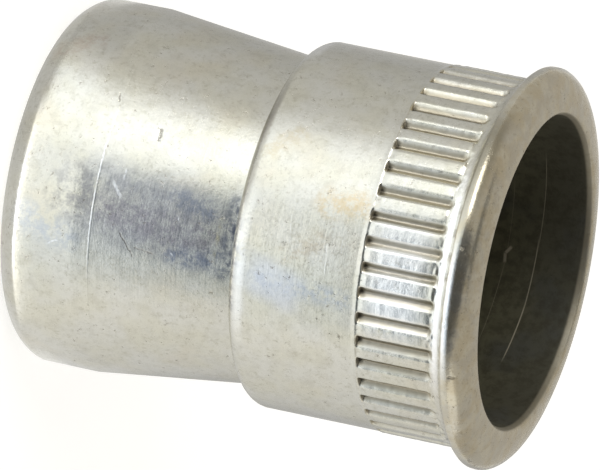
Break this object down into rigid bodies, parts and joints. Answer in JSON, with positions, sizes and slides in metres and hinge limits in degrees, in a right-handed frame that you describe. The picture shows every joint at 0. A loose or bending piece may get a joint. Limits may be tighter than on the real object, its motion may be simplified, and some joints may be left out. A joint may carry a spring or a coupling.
{
  "type": "rivet nut",
  "caption": "Blind threaded insert with a domed low-profile flange, straight-knurled sleeve, V-shaped shear neck and a tapered tapped tail that is drawn up into the sleeve.",
  "frame": {"origin": "centre of the tail's flat end face, where the axis meets the surface it stands on", "axes": "+Z along the axis from the tail towards the flange; the screw enters from +Z; +X points at the middle of one knurl groove"},
  "size_m": [0.0134, 0.0134, 0.0167],
  "materials": {
    "plated_steel": "satin zinc plating with a faint yellow cast, fine turning rings and small dark pits"
  },
  "bodies": {
    "root": {"rivet_nut": "plated_steel"}
  },
  "joints": []
}
